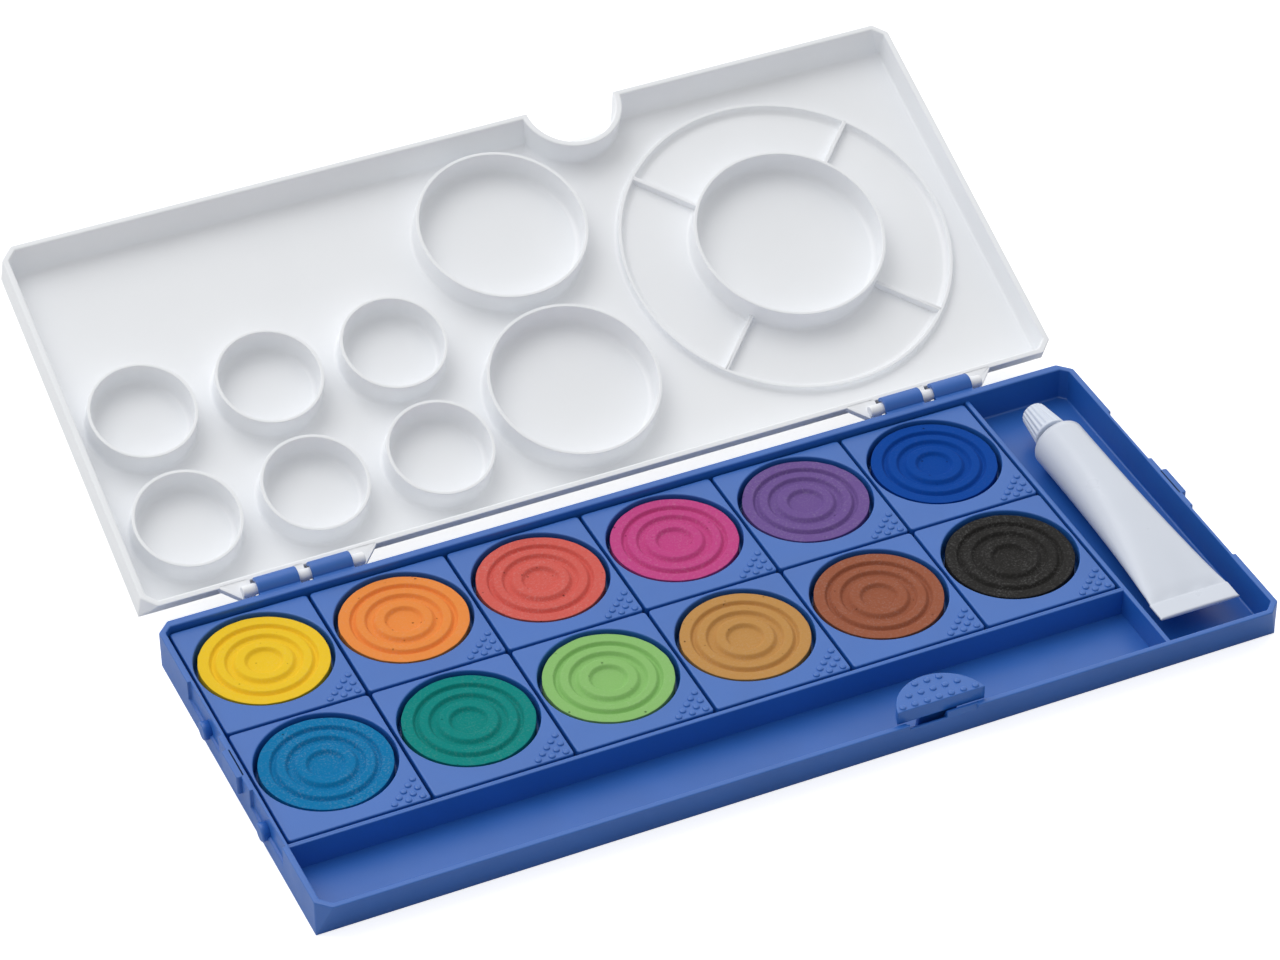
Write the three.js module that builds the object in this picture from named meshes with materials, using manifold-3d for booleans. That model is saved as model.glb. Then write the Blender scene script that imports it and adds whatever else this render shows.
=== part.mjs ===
// A school paint box, open: a flat blue tray with twelve lift-out pans of paint and a tube of white,
// and a white palette lid that clips to it on two rod-and-hook hinges.
// Millimetres, +Z up, +X along the box to the right, +Y towards the hinges.
// The origin is the middle of the tray's underside.
import * as THREE from "three";
import { ConvexGeometry } from "three/addons/geometries/ConvexGeometry.js";
import { mergeVertices } from "three/addons/utils/BufferGeometryUtils.js";
import Module from "manifold-3d";

const wasm = await Module();
wasm.setup();

// Tray
const TRAY_HEIGHT = 9.8;
const FLOOR = 1.3;
const END_WALL = 1.5;
const FRONT_WALL = 1.5;
const BACK_WALL = 2.2;
const CORNER = 3.2;
const DIVIDER = 1.2;
const RIM_ABOVE_PANS = 1.5;
const TUBE_BAY = 26.45;
const BRUSH_BAY = 21.05;

// Pans and tablets of paint
const PAN_COLUMNS = 6;
const PAN_ROWS = 2;
const PAN_GAP = 0.75;
const PAN_END_CLEARANCE = 1;
const PAN_SIDE_CLEARANCE = 0.7;
const PAN_WALL = 1;
const PAN_CORNER = 0.8;
const PAN_SIDE_LAND = 0.575;
const PAN_BACK_LAND = 0.675;
const PAN_FRONT_LAND = 4.475;
const WELL_DEPTH = 5.2;
const TABLET_RADIUS = 15;
const TABLET_CLEARANCE = 1;
const TABLET_SUNK = 0.2;
const RELIEF = 0.55;
const SEAT_GAP = 0.05;

// Side grips, one on each short wall
const GRIP_LENGTH = 58.8;
const GRIP_CUT = 0.75;
const GRIP_CUT_HEIGHT = 5;
const GRIP_STEP_LENGTH = 19.4;
const GRIP_BLOCK_LENGTH = 9.7;
const GRIP_BLOCK_OUT = 1.1;
const LUG_SPACING = 36;
const LUG_RADIUS = 2.2;
const LUG_OUT = 1.2;
const LUG_FOOT = 2.6;

// Latch tab: a thumb plate above the front rim on a leg that stands inside the front wall
const TAB_X = 30.6;
const TAB_WIDTH = 21.6;
const TAB_REACH = 8.9;
const TAB_ABOVE_RIM = 3.2;
const TAB_BELOW_RIM = 0.4;
const TAB_GAP = 0.3;
const TAB_LEG_WIDTH = 9.5;
const TAB_LEG_THICKNESS = 1.2;
const TAB_RECESS_WIDTH = 16.8;
const TAB_RECESS_DEPTH = 1.5;
const TAB_SLOT_WIDTH = 9.9;
const TAB_SLOT_DEPTH = 2.6;
const TAB_SLOT_LEFT = 8.9;

// Hinges
const HINGE_FROM_END = 37.3;
const HINGE_SETBACK = 2.9;
const HINGE_DROP = 0.66;
const ROD_RADIUS = 1.4;
const HOOK_GAP = 0.25;
const HOOK_WALL = 0.95;
const HOOK_WIDTH = 10.1;
const HOOK_SPACING = 13.2;
const HOOK_TIP_ANGLE = Math.PI / 6;
const HOOK_ROOT_HEIGHT = 3.4;
const EAR_WIDTH = 38.6;
const EAR_THICKNESS = 1.6;
const EAR_SIDE_GAP = 0.3;
const STOP_GAP = 0.3;

// Lid
const LID_OVERHANG = 0.4;
const LID_OVER_TUBE = 1.1;
const LID_WALL = 1.5;
const LID_ROOF = 1.3;
const LID_GAP = 0.3;
const LID_TILT = THREE.MathUtils.degToRad(22.2);
const NOTCH_CLEARANCE = 0.8;
const NOTCH_WALL = 1.6;
const NOTCH_ROOF_SETBACK = 6.4;

// Mixing wells in the lid
const WELL_RIM_DROP = 0.8;
const WELL_WALL = 1.1;
const SMALL_WELL = 13;
const SMALL_WELL_COLUMNS = 3;
const SMALL_WELL_ROWS = 2;
const SMALL_WELL_COLUMN_GAP = 5.6;
const SMALL_WELL_ROW_GAP = 4.5;
const SMALL_WELL_END_GAP = 3.3;
const SMALL_WELL_HINGE_GAP = 5.8;
const MEDIUM_WELL = 21.2;
const MEDIUM_WELL_COLUMN_GAP = 3.5;
const MEDIUM_WELL_ROW_GAP = 3.8;
const CENTRE_WELL = 24;
const RING_RADIUS = 41.9;
const RING_HEIGHT = 1.9;
const RING_END_GAP = 5.5;
const SPOKE_WALL = 1;
const SPOKES = 4;

// Tube of white
const TUBE_RADIUS = 6.6;
const TUBE_LENGTH = 64.4;
const TUBE_CRIMP_LENGTH = 5.2;
const TUBE_CRIMP_THICKNESS = 1.1;
const TUBE_SHOULDER = 3;
const TUBE_BACK_SHARE = 0.6625;
const TUBE_SIDE_GAP = 1.8;
const TUBE_FLOOR_GAP = 0.1;
const NECK_RADIUS = 2.4;
const NECK_LENGTH = 6;
const CAP_RADIUS = 4.4;
const CAP_END_RADIUS = 3.15;
const CAP_LENGTH = 9.9;
const CAP_RIB = 0.22;
const CAP_RIBS = 20;
const CAP_GAP = 0.3;

const OVERRUN = 2;
const CORNER_SEGMENTS = 3;
const WELL_SEGMENTS = 32;
const SMALL_SEGMENTS = 24;
const RING_SEGMENTS = 40;
const HOOK_SEGMENTS = 12;
const TUBE_STEPS = 6;

// The tablets size the pans, and the pans, the dividers and the two bays size the tray
const wellRadius = TABLET_RADIUS + TABLET_CLEARANCE;
const wellBackOffset = (PAN_FRONT_LAND - PAN_BACK_LAND) / 2;
const panLength = 2 * (wellRadius + PAN_SIDE_LAND);
const panDepth = PAN_FRONT_LAND + 2 * wellRadius + PAN_BACK_LAND;
const panPitchX = panLength + PAN_GAP;
const panPitchY = panDepth + PAN_GAP;
const pansLength = PAN_END_CLEARANCE + PAN_COLUMNS * panPitchX - PAN_GAP + PAN_SIDE_CLEARANCE;
const pansDepth = PAN_ROWS * panPitchY - PAN_GAP + 2 * PAN_SIDE_CLEARANCE;
const trayLength = pansLength + DIVIDER + TUBE_BAY + 2 * END_WALL;
const trayDepth = FRONT_WALL + BRUSH_BAY + DIVIDER + pansDepth + BACK_WALL;

// Places in the tray
const trayRight = trayLength / 2;
const trayBack = trayDepth / 2;
const innerRight = trayRight - END_WALL;
const innerBack = trayBack - BACK_WALL;
const innerFront = -trayBack + FRONT_WALL;
const panTop = TRAY_HEIGHT - RIM_ABOVE_PANS;
const firstPanX = -innerRight + PAN_END_CLEARANCE + panLength / 2;
const backRowY = innerBack - PAN_SIDE_CLEARANCE - panDepth / 2;
const tubeDividerLeft = -innerRight + pansLength;
const tubeBayLeft = tubeDividerLeft + DIVIDER;
const bayFront = innerBack - pansDepth;

// The tube lies in its bay with the spare length shared between its two ends
const foldHalfThickness = TUBE_CRIMP_THICKNESS / 2;
const foldHalfWidth = foldHalfThickness + Math.PI * (TUBE_RADIUS - foldHalfThickness) / 2;
const tubeX = tubeBayLeft + TUBE_SIDE_GAP + foldHalfWidth;
const tubeZ = FLOOR + TUBE_FLOOR_GAP + TUBE_RADIUS;
const bayLength = innerBack - innerFront - CORNER;
const spareLength = bayLength - CAP_LENGTH - TUBE_LENGTH - TUBE_CRIMP_LENGTH;
const shoulderY = innerBack - spareLength * TUBE_BACK_SHARE - CAP_LENGTH;

// The hinge axis, and the lid that clears the tube when it is closed
const hingeX = trayRight - HINGE_FROM_END;
const axisY = trayBack + HINGE_SETBACK;
const axisZ = TRAY_HEIGHT - HINGE_DROP;
const hookInner = ROD_RADIUS + HOOK_GAP;
const hookOuter = hookInner + HOOK_WALL;
const rimToAxis = TRAY_HEIGHT + LID_GAP - axisZ;
const lidDepth = trayDepth + LID_OVERHANG;
const tubeAboveLidRim = tubeZ + TUBE_RADIUS - TRAY_HEIGHT - LID_GAP;
const lidHeight = tubeAboveLidRim + LID_OVER_TUBE + RING_HEIGHT + LID_ROOF;
const notchRadius = TAB_WIDTH / 2 + NOTCH_CLEARANCE;

function solid(geometry) {
  const bare = geometry.clone();
  bare.deleteAttribute("normal");
  bare.deleteAttribute("uv");
  const merged = mergeVertices(bare);
  const vertProperties = new Float32Array(merged.attributes.position.array);
  const triVerts = new Uint32Array(merged.index.array);
  return new wasm.Manifold(new wasm.Mesh({ numProp: 3, vertProperties, triVerts }));
}

function geometryOf(manifold) {
  const mesh = manifold.getMesh();
  const geometry = new THREE.BufferGeometry();
  geometry.setAttribute("position", new THREE.BufferAttribute(mesh.vertProperties, mesh.numProp));
  geometry.setIndex(new THREE.BufferAttribute(mesh.triVerts, 1));
  geometry.computeVertexNormals();
  return geometry;
}

function box(low, high) {
  const size = high.map((value, axis) => value - low[axis]);
  const geometry = new THREE.BoxGeometry(...size);
  geometry.translate(...low.map((value, axis) => value + size[axis] / 2));
  return solid(geometry);
}

function cylinder(radius, low, high, segments) {
  const geometry = new THREE.CylinderGeometry(radius, radius, high - low, segments);
  geometry.rotateX(Math.PI / 2);
  geometry.translate(0, 0, (low + high) / 2);
  return solid(geometry);
}

function rod(radius, left, right, segments) {
  const geometry = new THREE.CylinderGeometry(radius, radius, right - left, segments);
  geometry.rotateZ(Math.PI / 2);
  geometry.translate((left + right) / 2, 0, 0);
  return solid(geometry);
}

// A plate drawn in the y-z plane and carried along x
function sideExtrusion(shape, left, right, segments) {
  const geometry = new THREE.ExtrudeGeometry(shape, {
    depth: right - left, bevelEnabled: false, curveSegments: segments,
  });
  geometry.rotateZ(Math.PI / 2);
  geometry.rotateY(Math.PI / 2);
  geometry.translate(left, 0, 0);
  return solid(geometry);
}

// The eight corners of a trough's outline at one height. A long wall that leans draws its corner
// chamfers in with it, so they vanish where the lean is complete.
function outlineAt(z, trough) {
  const drop = (trough.rim - z) / trough.height;
  const front = trough.front + trough.frontLean * drop;
  const back = trough.back - trough.backLean * drop;
  const frontLeg = trough.frontCorner * (trough.frontLean ? 1 - drop : 1);
  const backLeg = trough.backCorner * (trough.backLean ? 1 - drop : 1);
  const corners = [];
  for (const side of [trough.left, trough.right]) {
    const inwards = side === trough.left ? 1 : -1;
    corners.push([side + inwards * frontLeg, front], [side, front + frontLeg]);
    corners.push([side, back - backLeg], [side + inwards * backLeg, back]);
  }
  return corners.map(([x, y]) => new THREE.Vector3(x, y, z));
}

// The chamfer inside a corner, where the wall across the corner is as thick as the end wall
const innerCorner = (endWall, longWall) => CORNER + endWall * Math.SQRT2 - endWall - longWall;

function troughSolid(bottom, top, trough) {
  return solid(new ConvexGeometry([...outlineAt(bottom, trough), ...outlineAt(top, trough)]));
}

function roundedPlate(length, depth, radius, low, high) {
  const x = length / 2 - radius;
  const y = depth / 2 - radius;
  const shape = new THREE.Shape();
  shape.absarc(x, y, radius, 0, Math.PI / 2);
  shape.absarc(-x, y, radius, Math.PI / 2, Math.PI);
  shape.absarc(-x, -y, radius, Math.PI, Math.PI * 3 / 2);
  shape.absarc(x, -y, radius, Math.PI * 3 / 2, Math.PI * 2);
  const geometry = new THREE.ExtrudeGeometry(shape, {
    depth: high - low, bevelEnabled: false, curveSegments: CORNER_SEGMENTS,
  });
  geometry.translate(0, 0, low);
  return solid(geometry);
}

// A grip on each short side: a cut below the rim, a block in its middle and two lugs
function gripCut(side) {
  const face = side * trayRight;
  const cut = [face - side * GRIP_CUT, face + side * OVERRUN].sort((a, b) => a - b);
  const low = TRAY_HEIGHT - GRIP_CUT_HEIGHT;
  const high = TRAY_HEIGHT + OVERRUN;
  const whole = box([cut[0], -GRIP_LENGTH / 2, low], [cut[1], GRIP_LENGTH / 2, high]);
  const kept = box([cut[0], -GRIP_STEP_LENGTH / 2, low], [cut[1], GRIP_STEP_LENGTH / 2, high]);
  return whole.subtract(kept);
}

function gripBlock(side) {
  const face = side * trayRight;
  const reach = [face - side * GRIP_CUT, face + side * GRIP_BLOCK_OUT].sort((a, b) => a - b);
  const low = TRAY_HEIGHT - GRIP_CUT_HEIGHT;
  return box([reach[0], -GRIP_BLOCK_LENGTH / 2, low], [reach[1], GRIP_BLOCK_LENGTH / 2, TRAY_HEIGHT]);
}

function gripLug(side, end) {
  const face = side * trayRight;
  const height = 2 * (LUG_OUT + GRIP_CUT);
  const geometry = new THREE.CylinderGeometry(LUG_RADIUS, LUG_RADIUS, height, SMALL_SEGMENTS);
  geometry.rotateZ(Math.PI / 2);
  geometry.translate(face, end * LUG_SPACING / 2, LUG_FOOT + LUG_RADIUS);
  const away = [face - side * GRIP_CUT, face + side * LUG_OUT].sort((a, b) => a - b);
  const far = end * LUG_SPACING / 2;
  const keep = box([away[0], far - LUG_RADIUS, 0], [away[1], far + LUG_RADIUS, TRAY_HEIGHT]);
  return solid(geometry).intersect(keep);
}

// Where the inside of the front wall lies at one height
const innerFrontAt = (z) => innerFront + CORNER * (TRAY_HEIGHT - z) / TRAY_HEIGHT;

// The half-round thumb plate and the leg that follows the front wall down to the floor
function latchTabSolid() {
  const halfWidth = TAB_WIDTH / 2;
  const radius = (halfWidth * halfWidth + TAB_REACH * TAB_REACH) / (2 * TAB_REACH);
  const spread = Math.asin(halfWidth / radius);
  const plateBottom = TRAY_HEIGHT - TAB_BELOW_RIM;
  const chord = innerFrontAt(plateBottom) + TAB_GAP;
  const shape = new THREE.Shape();
  shape.absarc(TAB_X, chord + TAB_REACH - radius, radius, Math.PI / 2 - spread, Math.PI / 2 + spread);
  const plate = new THREE.ExtrudeGeometry(shape, {
    depth: TAB_ABOVE_RIM + TAB_BELOW_RIM, bevelEnabled: false, curveSegments: SMALL_SEGMENTS,
  });
  plate.translate(0, 0, plateBottom);
  const corners = [];
  for (const z of [FLOOR + TAB_GAP, plateBottom + TAB_ABOVE_RIM / 2]) {
    const face = Math.min(innerFrontAt(z), innerFrontAt(FLOOR)) + TAB_GAP;
    const front = z > plateBottom ? chord + TAB_LEG_THICKNESS / 2 : face;
    for (const x of [TAB_X - TAB_LEG_WIDTH / 2, TAB_X + TAB_LEG_WIDTH / 2]) {
      corners.push(new THREE.Vector3(x, front, z), new THREE.Vector3(x, front + TAB_LEG_THICKNESS, z));
    }
  }
  return solid(plate).add(solid(new ConvexGeometry(corners)));
}

// Two hooks in one outline: out from the rim, over the rod and back down to a root on the wall
function hinge(centre) {
  const inWall = trayBack - BACK_WALL / 2;
  const rimAngle = Math.asin(HINGE_DROP / hookOuter);
  const outline = new THREE.Shape();
  outline.moveTo(inWall, TRAY_HEIGHT);
  outline.absarc(axisY, axisZ, hookOuter, Math.PI - rimAngle, HOOK_TIP_ANGLE, true);
  outline.absarc(axisY, axisZ, hookInner, HOOK_TIP_ANGLE, Math.PI);
  outline.lineTo(axisY - hookInner, axisZ - HOOK_ROOT_HEIGHT);
  outline.lineTo(inWall, axisZ - HOOK_ROOT_HEIGHT);
  const hooks = [-1, 1].map((end) => {
    const left = centre + end * HOOK_SPACING / 2 - HOOK_WIDTH / 2;
    return sideExtrusion(outline, left, left + HOOK_WIDTH, HOOK_SEGMENTS);
  });
  return hooks[0].add(hooks[1]);
}

function traySolid() {
  const outer = {
    left: -trayRight, right: trayRight, front: -trayBack, back: trayBack,
    rim: TRAY_HEIGHT, height: TRAY_HEIGHT, frontLean: CORNER, backLean: 0,
    frontCorner: CORNER, backCorner: CORNER,
  };
  const inner = {
    ...outer, left: -innerRight, right: innerRight, front: innerFront, back: innerBack,
    frontCorner: innerCorner(END_WALL, FRONT_WALL), backCorner: innerCorner(END_WALL, BACK_WALL),
  };
  const top = TRAY_HEIGHT + OVERRUN;
  const bays = box([-innerRight, bayFront, FLOOR], [tubeDividerLeft, innerBack, top])
    .add(box([-innerRight, -trayBack, FLOOR], [tubeDividerLeft, bayFront - DIVIDER, top]))
    .add(box([tubeBayLeft, -trayBack, FLOOR], [innerRight, innerBack, top]))
    .intersect(troughSolid(FLOOR, top, inner));
  let tray = troughSolid(0, TRAY_HEIGHT, outer)
    .subtract(troughSolid(panTop, top, inner))
    .subtract(bays);
  for (const side of [-1, 1]) {
    tray = tray.subtract(gripCut(side)).add(gripBlock(side));
    for (const end of [-1, 1]) {
      tray = tray.add(gripLug(side, end));
    }
    tray = tray.add(hinge(side * hingeX));
  }
  const recessMiddle = -trayBack + FRONT_WALL / 2;
  const recess = box(
    [TAB_X - TAB_RECESS_WIDTH / 2, -trayBack - OVERRUN, TRAY_HEIGHT - TAB_RECESS_DEPTH],
    [TAB_X + TAB_RECESS_WIDTH / 2, recessMiddle, TRAY_HEIGHT + OVERRUN],
  );
  const slotLeft = TAB_X - TAB_SLOT_LEFT;
  const slot = box(
    [slotLeft, recessMiddle, TRAY_HEIGHT - TAB_SLOT_DEPTH],
    [slotLeft + TAB_SLOT_WIDTH, innerFront + FRONT_WALL, TRAY_HEIGHT + OVERRUN],
  );
  return tray.subtract(recess).subtract(slot);
}

function panSolid() {
  const bottom = FLOOR + SEAT_GAP;
  const cupFloor = panTop - WELL_DEPTH - PAN_WALL;
  const shell = roundedPlate(panLength, panDepth, PAN_CORNER, bottom, panTop);
  const cup = cylinder(wellRadius + PAN_WALL, cupFloor, panTop, WELL_SEGMENTS)
    .translate([0, wellBackOffset, 0]);
  const well = cylinder(wellRadius, cupFloor + PAN_WALL, panTop + OVERRUN, WELL_SEGMENTS)
    .translate([0, wellBackOffset, 0]);
  const insideLength = panLength - 2 * PAN_WALL;
  const insideDepth = panDepth - 2 * PAN_WALL;
  const hollow = box(
    [-insideLength / 2, -insideDepth / 2, bottom - OVERRUN],
    [insideLength / 2, insideDepth / 2, panTop - PAN_WALL],
  ).subtract(cup);
  return shell.subtract(hollow).subtract(well);
}

// The pressed tablet is a flat cake with two narrow grooves round a shallow dimple in its middle.
// Each row is a share of the tablet's radius and a share of the relief's depth.
const tabletProfileShares = [
  [0.98, 0], [0.83, 0], [0.8, 1], [0.77, 0], [0.57, 0], [0.54, 1], [0.51, 0], [0.25, 0], [0.2, 1], [0, 1],
];

function tabletGeometry() {
  const bottom = panTop - WELL_DEPTH + SEAT_GAP;
  const top = panTop - TABLET_SUNK;
  const points = [new THREE.Vector2(0, bottom), new THREE.Vector2(TABLET_RADIUS, bottom)];
  points.push(new THREE.Vector2(TABLET_RADIUS, top - RELIEF));
  for (const [radiusShare, depthShare] of tabletProfileShares) {
    points.push(new THREE.Vector2(TABLET_RADIUS * radiusShare, top - RELIEF * depthShare));
  }
  const geometry = new THREE.LatheGeometry(points, SMALL_SEGMENTS);
  geometry.rotateX(Math.PI / 2);
  geometry.translate(0, wellBackOffset, 0);
  return geometryOf(solid(geometry));
}

// The lid is drawn with its hinge axis on the x axis. v runs across the lid from the hinge side,
// and w runs up out of its mouth from the rim.
const vToY = (v) => v + HINGE_SETBACK;
const wToZ = (w) => w - rimToAxis;

function ringWall(radius, x, v, low, high, segments) {
  const bore = cylinder(radius - WELL_WALL, wToZ(low) - OVERRUN, wToZ(high) + OVERRUN, segments);
  return cylinder(radius, wToZ(low), wToZ(high), segments).subtract(bore).translate([x, vToY(v), 0]);
}

// One clip: a flared plate on the lid's edge that carries the rod, open where the hooks go round it
function ear(centre) {
  const axisToStop = HINGE_SETBACK - STOP_GAP + rimToAxis * Math.sin(LID_TILT);
  const tip = -HINGE_SETBACK - axisToStop / Math.cos(LID_TILT);
  const outline = new THREE.Shape();
  outline.moveTo(centre - EAR_WIDTH / 2, vToY(0));
  outline.lineTo(centre - EAR_WIDTH / 2, vToY(LID_WALL / 2));
  outline.lineTo(centre + EAR_WIDTH / 2, vToY(LID_WALL / 2));
  outline.lineTo(centre + EAR_WIDTH / 2, vToY(0));
  outline.lineTo(centre + EAR_WIDTH / 2 + tip, vToY(tip));
  outline.lineTo(centre - EAR_WIDTH / 2 - tip, vToY(tip));
  const geometry = new THREE.ExtrudeGeometry(outline, { depth: EAR_THICKNESS, bevelEnabled: false });
  geometry.translate(0, 0, wToZ(-EAR_THICKNESS));
  const rodEnd = EAR_WIDTH / 2 - HINGE_SETBACK - ROD_RADIUS;
  const saddle = box(
    [centre - rodEnd, -ROD_RADIUS, wToZ(-EAR_THICKNESS)],
    [centre + rodEnd, ROD_RADIUS, 0],
  );
  let plate = solid(geometry).add(saddle);
  for (const end of [-1, 1]) {
    const left = centre + end * HOOK_SPACING / 2 - HOOK_WIDTH / 2 - EAR_SIDE_GAP;
    const right = left + HOOK_WIDTH + 2 * EAR_SIDE_GAP;
    const cut = box([left, vToY(tip) - OVERRUN, wToZ(-EAR_THICKNESS) - OVERRUN], [right, vToY(0), OVERRUN]);
    plate = plate.subtract(cut);
  }
  return plate.add(rod(ROD_RADIUS, centre - rodEnd, centre + rodEnd, SMALL_SEGMENTS));
}

// The walls that stand on the palette: three sizes of well, and a low ring with its spokes
function paletteWalls(roof) {
  const foot = roof - LID_ROOF / 2;
  const ringX = trayRight - LID_WALL - RING_END_GAP - RING_RADIUS;
  const ringTop = roof + RING_HEIGHT;
  const rim = -WELL_RIM_DROP;
  let walls = ringWall(CENTRE_WELL, ringX, lidDepth / 2, foot, rim, RING_SEGMENTS)
    .add(ringWall(RING_RADIUS, ringX, lidDepth / 2, foot, ringTop, RING_SEGMENTS));
  for (let index = 0; index < SPOKES; index += 1) {
    const spoke = box(
      [CENTRE_WELL - WELL_WALL / 2, -SPOKE_WALL / 2, wToZ(foot)],
      [RING_RADIUS - WELL_WALL / 2, SPOKE_WALL / 2, wToZ(ringTop)],
    );
    const turn = (index + 1 / 2) * 360 / SPOKES;
    walls = walls.add(spoke.rotate([0, 0, turn]).translate([ringX, vToY(lidDepth / 2), 0]));
  }
  const columnPitch = 2 * SMALL_WELL + SMALL_WELL_COLUMN_GAP;
  const rowPitch = 2 * SMALL_WELL + SMALL_WELL_ROW_GAP;
  const firstX = -trayRight + LID_WALL + SMALL_WELL_END_GAP + SMALL_WELL;
  const firstV = LID_WALL + SMALL_WELL_HINGE_GAP + SMALL_WELL;
  for (let column = 0; column < SMALL_WELL_COLUMNS; column += 1) {
    for (let row = 0; row < SMALL_WELL_ROWS; row += 1) {
      const x = firstX + column * columnPitch;
      const v = firstV + row * rowPitch;
      walls = walls.add(ringWall(SMALL_WELL, x, v, foot, rim, WELL_SEGMENTS));
    }
  }
  const lastX = firstX + (SMALL_WELL_COLUMNS - 1) * columnPitch;
  const mediumX = lastX + SMALL_WELL + MEDIUM_WELL_COLUMN_GAP + MEDIUM_WELL;
  for (const side of [-1, 1]) {
    const v = lidDepth / 2 + side * (MEDIUM_WELL + MEDIUM_WELL_ROW_GAP / 2);
    walls = walls.add(ringWall(MEDIUM_WELL, mediumX, v, foot, rim, WELL_SEGMENTS));
  }
  return walls;
}

function lidSolid() {
  const roof = -lidHeight + LID_ROOF;
  const outer = {
    left: -trayRight, right: trayRight, front: vToY(0), back: vToY(lidDepth),
    rim: wToZ(0), height: lidHeight, frontLean: CORNER, backLean: CORNER,
    frontCorner: CORNER, backCorner: CORNER,
  };
  const inner = {
    ...outer, left: -trayRight + LID_WALL, right: trayRight - LID_WALL,
    front: vToY(LID_WALL), back: vToY(lidDepth - LID_WALL),
    frontCorner: innerCorner(LID_WALL, LID_WALL), backCorner: innerCorner(LID_WALL, LID_WALL),
  };
  const notchCentre = [TAB_X, vToY(lidDepth), 0];
  const notchWall = cylinder(notchRadius + NOTCH_WALL, wToZ(roof - LID_ROOF / 2), wToZ(0), WELL_SEGMENTS)
    .translate(notchCentre)
    .intersect(troughSolid(wToZ(-lidHeight), wToZ(0), { ...outer, back: outer.back - LID_WALL / 2 }));
  const pocket = cylinder(notchRadius, wToZ(roof), wToZ(OVERRUN), WELL_SEGMENTS).translate(notchCentre);
  const throughLow = wToZ(-lidHeight - OVERRUN);
  const through = cylinder(notchRadius, throughLow, wToZ(OVERRUN), WELL_SEGMENTS);
  const roofCut = box(
    [-notchRadius, -NOTCH_ROOF_SETBACK, throughLow],
    [notchRadius, notchRadius, wToZ(OVERRUN)],
  ).intersect(through).translate(notchCentre);
  let lid = troughSolid(wToZ(-lidHeight), wToZ(0), outer)
    .subtract(troughSolid(wToZ(roof), wToZ(OVERRUN), inner))
    .add(paletteWalls(roof))
    .add(notchWall)
    .subtract(pocket)
    .subtract(roofCut);
  for (const side of [-1, 1]) {
    lid = lid.add(ear(side * hingeX));
  }
  return lid;
}

// A closed skin over rings of points, with a flat end at each end
function loft(rings) {
  const count = rings[0].length;
  const points = rings.flat();
  const triangles = [];
  for (let ring = 0; ring + 1 < rings.length; ring += 1) {
    for (let index = 0; index < count; index += 1) {
      const a = ring * count + index;
      const b = ring * count + (index + 1) % count;
      triangles.push(a, b, a + count, b, b + count, a + count);
    }
  }
  for (let index = 1; index + 1 < count; index += 1) {
    const last = (rings.length - 1) * count;
    triangles.push(0, index + 1, index, last, last + index, last + index + 1);
  }
  const geometry = new THREE.BufferGeometry();
  geometry.setAttribute("position", new THREE.Float32BufferAttribute(points.flat(), 3));
  geometry.setIndex(triangles);
  return geometry;
}

// The tube's section at y: its ends stay round while its middle flattens at the same girth
function tubeRing(y, halfThickness) {
  const halfFlat = Math.PI * (TUBE_RADIUS - halfThickness) / 2;
  return roundRing(y, halfThickness).map(([x, , z]) => [x + Math.sign(x) * halfFlat, y, z]);
}

function roundRing(y, radius) {
  const ring = [];
  for (let index = 0; index < SMALL_SEGMENTS; index += 1) {
    const angle = (index + 1 / 2) * 2 * Math.PI / SMALL_SEGMENTS;
    ring.push([radius * Math.cos(angle), y, radius * Math.sin(angle)]);
  }
  return ring;
}

// The tube lies along y with its neck towards the hinges. y is zero at the shoulder.
// Its thickness falls from the full round shoulder with the square of the distance to the fold.
function tubeGeometry() {
  const rings = [
    roundRing(NECK_LENGTH, NECK_RADIUS), roundRing(0, NECK_RADIUS), roundRing(0, CAP_RADIUS),
  ];
  for (let step = 0; step <= TUBE_STEPS; step += 1) {
    const along = step / TUBE_STEPS;
    const half = foldHalfThickness + (TUBE_RADIUS - foldHalfThickness) * (1 - along ** 2);
    rings.push(tubeRing(-TUBE_SHOULDER - along * (TUBE_LENGTH - TUBE_SHOULDER), half));
  }
  rings.push(tubeRing(-TUBE_LENGTH - TUBE_CRIMP_LENGTH, foldHalfThickness));
  return geometryOf(solid(loft(rings)));
}

function capRing(y, radius) {
  const ring = [];
  for (let index = 0; index < CAP_RIBS * 2; index += 1) {
    const angle = index * Math.PI / CAP_RIBS;
    const reach = index % 2 ? radius : radius - CAP_RIB;
    ring.push([reach * Math.cos(angle), y, reach * Math.sin(angle)]);
  }
  return ring;
}

function capGeometry() {
  const outside = solid(loft([capRing(CAP_LENGTH, CAP_END_RADIUS), capRing(CAP_GAP, CAP_RADIUS)]));
  const bore = cylinder(NECK_RADIUS + CAP_GAP, -OVERRUN, NECK_LENGTH + CAP_GAP, SMALL_SEGMENTS);
  return geometryOf(outside.subtract(bore.rotate([-90, 0, 0])));
}

function material(color, roughness, metalness = 0) {
  return new THREE.MeshStandardMaterial({ color, roughness, metalness });
}

function named(name, geometry, surface) {
  const mesh = new THREE.Mesh(geometry, surface);
  mesh.name = name;
  return mesh;
}

const blue = material(0x3c66b8, 0.38);
const white = material(0xe6eaee, 0.32);
const tubeWhite = material(0xe9edf2, 0.3);
const paints = [
  ["yellow", 0xf2cc1e], ["orange", 0xf59443], ["vermilion", 0xe0604f],
  ["magenta", 0xd23c86], ["violet", 0x75509a], ["ultramarine", 0x0d46a0],
  ["cyan", 0x0d7fb2], ["blue_green", 0x178c7e], ["yellow_green", 0x92cf63],
  ["ochre", 0xcf9648], ["brown", 0xa85a3a], ["black", 0x2e2e30],
];

const paintBox = new THREE.Group();
paintBox.add(named("tray", geometryOf(traySolid()), blue));
paintBox.add(named("latch_tab", geometryOf(latchTabSolid()), blue));

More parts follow.
